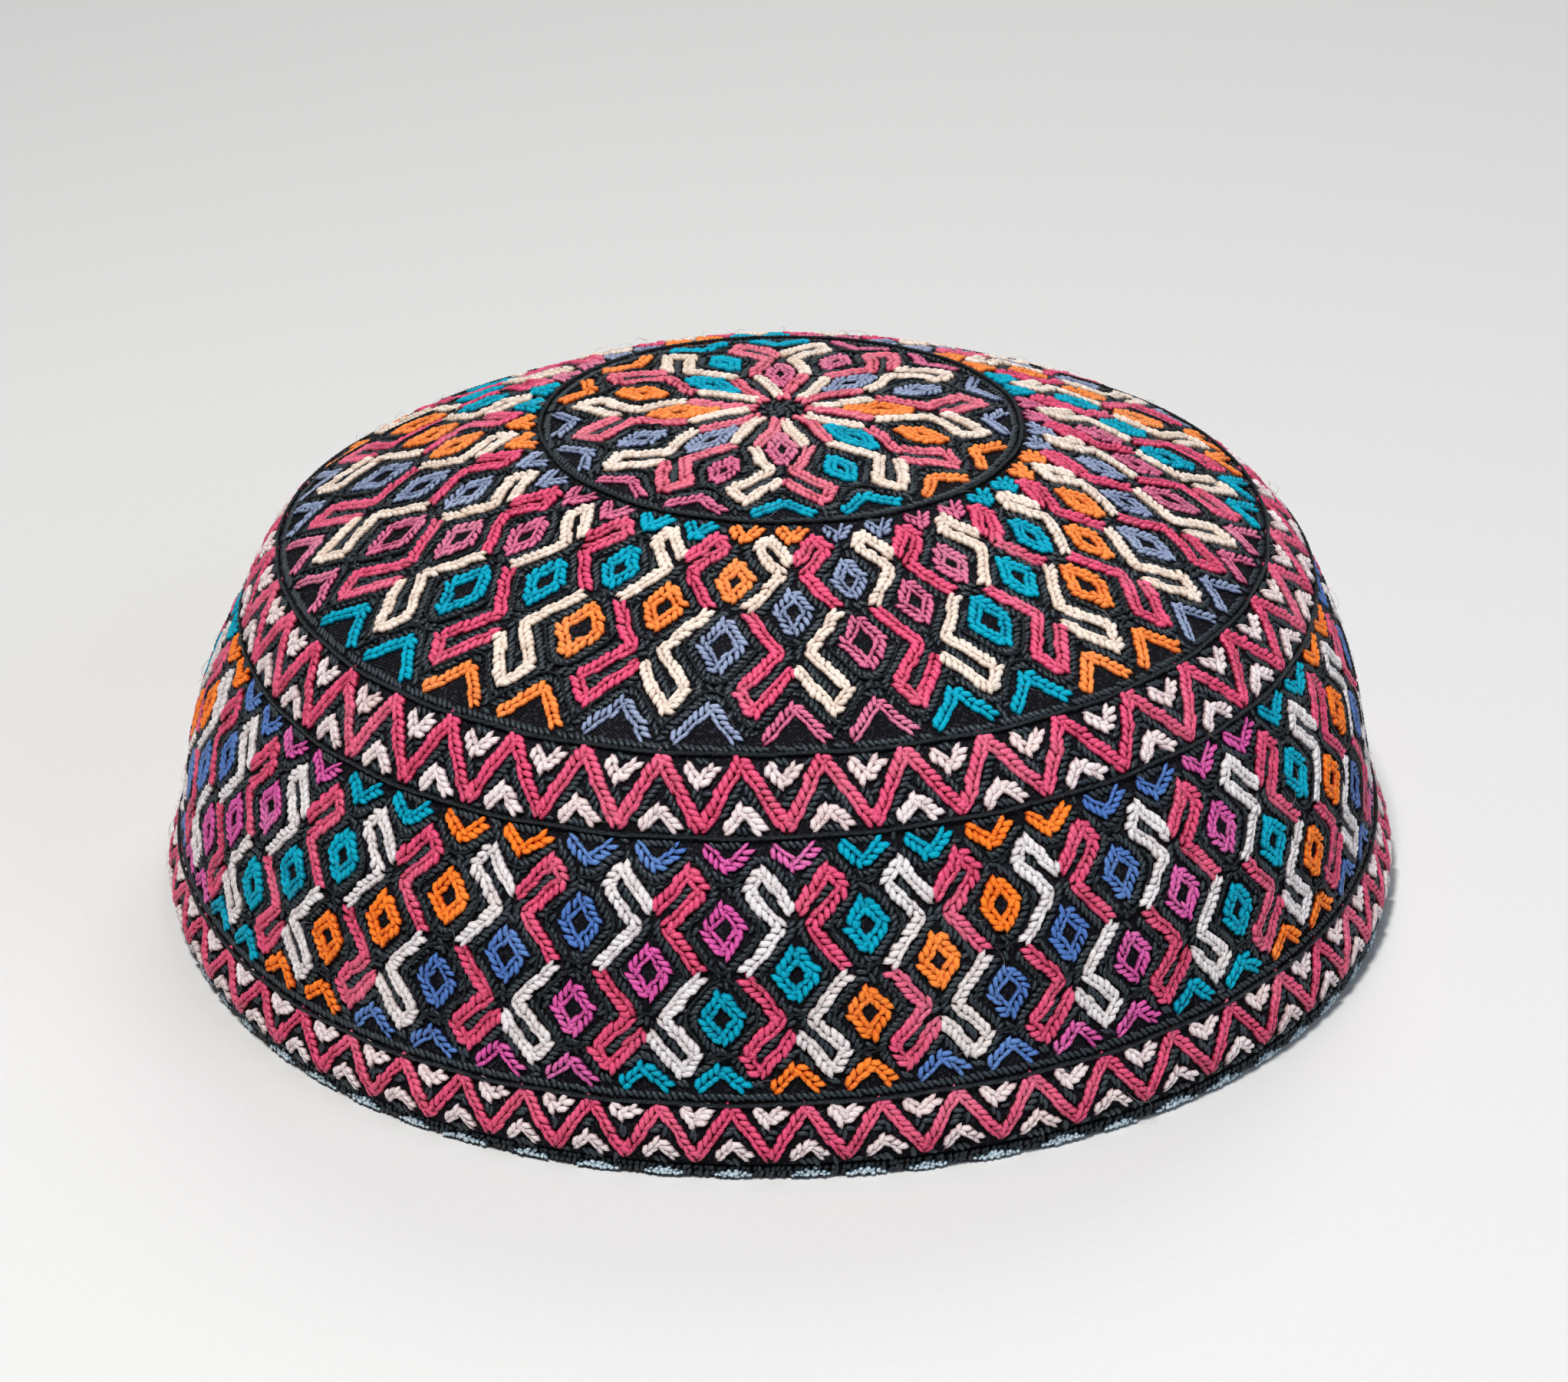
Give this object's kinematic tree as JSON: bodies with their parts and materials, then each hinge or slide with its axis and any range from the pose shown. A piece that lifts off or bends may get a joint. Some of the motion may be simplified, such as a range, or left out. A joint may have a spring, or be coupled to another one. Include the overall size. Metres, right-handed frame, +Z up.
{
  "type": "embroidered skullcap",
  "caption": "Low round cloth cap with a flat crown, embroidered all over in coloured chain stitch, open below for the head and resting on its rim.",
  "frame": {"origin": "on the table under the middle of the cap, at the foot of the rim", "axes": "+Z up through the crown, -Y towards the front of the picture, +X to its right"},
  "size_m": [0.1779, 0.171, 0.0713],
  "materials": {
    "embroidered_cloth": "dark twill under dense chain stitch in red, white, teal, orange, blue, magenta and black",
    "dark_cord": "thin black cord with a soft sheen",
    "edging_thread": "pale blue-white and black overcast thread"
  },
  "bodies": {
    "root": {"crown_top": "embroidered_cloth", "upper_border_band": "embroidered_cloth", "side_band": "embroidered_cloth", "hem_band": "embroidered_cloth", "crown_cord": "dark_cord", "crown_edge_cord": "dark_cord", "border_cord": "dark_cord", "hem_cord": "dark_cord", "rim_edging": "edging_thread"}
  },
  "joints": []
}
